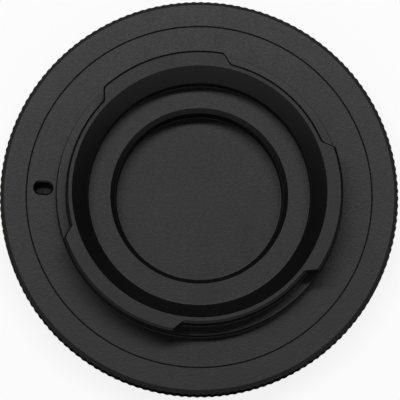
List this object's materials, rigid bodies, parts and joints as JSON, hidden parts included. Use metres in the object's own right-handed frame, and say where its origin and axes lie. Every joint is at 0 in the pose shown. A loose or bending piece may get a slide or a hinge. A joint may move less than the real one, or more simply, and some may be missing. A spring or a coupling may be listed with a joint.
{
  "type": "camera body cap",
  "caption": "Round black plastic cap that closes a camera's lens mount: flat serrated rim, low boss, bayonet ring with lugs, stepped floor and blind lock pin slot.",
  "frame": {"origin": "centre of the front face, on the surface that the cap lies on", "axes": "+Z along the cap's axis, out of the mount side; -X through the lock pin slot; +Y completes the right-handed set"},
  "size_m": [0.0582, 0.0582, 0.0092],
  "materials": {
    "black_plastic": "fine spark-eroded grain on the flat faces, smoother and darker on the upright walls"
  },
  "bodies": {
    "root": {"cap": "black_plastic"}
  },
  "joints": []
}
